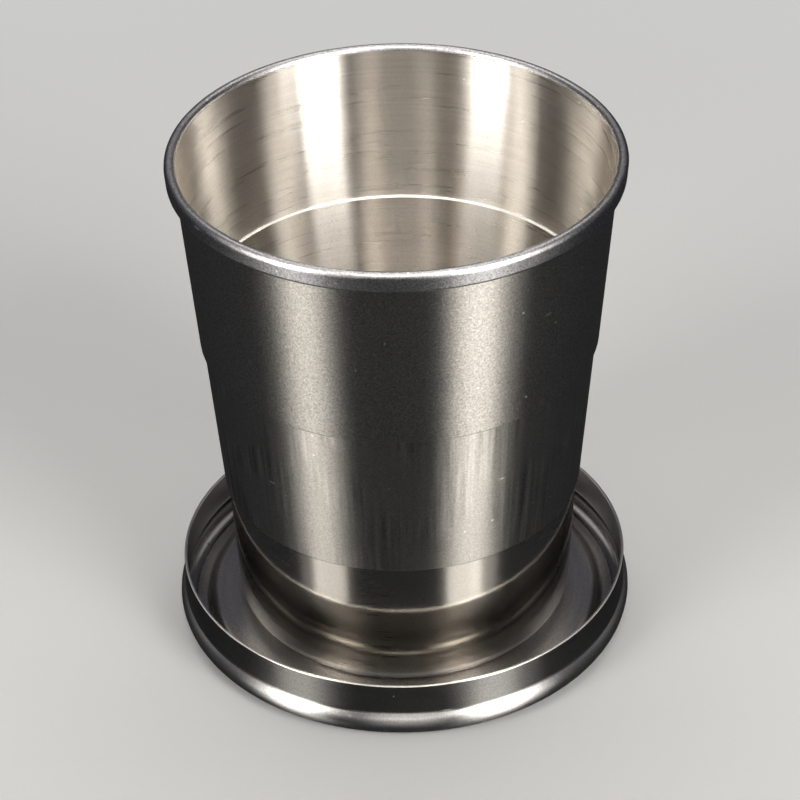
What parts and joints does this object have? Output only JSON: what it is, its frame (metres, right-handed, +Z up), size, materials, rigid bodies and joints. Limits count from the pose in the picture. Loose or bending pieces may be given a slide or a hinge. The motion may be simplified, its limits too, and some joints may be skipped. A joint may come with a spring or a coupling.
{
  "type": "collapsible travel cup",
  "caption": "Telescoping cup of tapered stainless rings with a rolled rim, standing in a pressed base dish that it collapses into.",
  "frame": {"origin": "centre of the foot ring, on the table", "axes": "+Z up along the cup's axis, towards its rim"},
  "size_m": [0.079, 0.079, 0.0895],
  "materials": {
    "dish_steel": "turned satin stainless steel",
    "cup_steel": "satin stainless steel",
    "ring_steel": "satin stainless steel with faint draw lines",
    "rim_steel": "satin stainless steel, brushed round inside",
    "weld_steel": "as welded"
  },
  "bodies": {
    "base": {"base_dish": "dish_steel", "bottom_cup": "cup_steel", "spot_welds": "weld_steel"},
    "middle": {"middle_ring": "ring_steel"},
    "rim": {"rim_ring": "rim_steel"}
  },
  "joints": [
    {"name": "middle_slide", "type": "slide", "parent": "base", "child": "middle", "axis": [0, 0, -1], "range_m": [0, 0.0262]},
    {"name": "rim_slide", "type": "slide", "parent": "middle", "child": "rim", "axis": [0, 0, -1], "range_m": [0, 0.0277]}
  ]
}
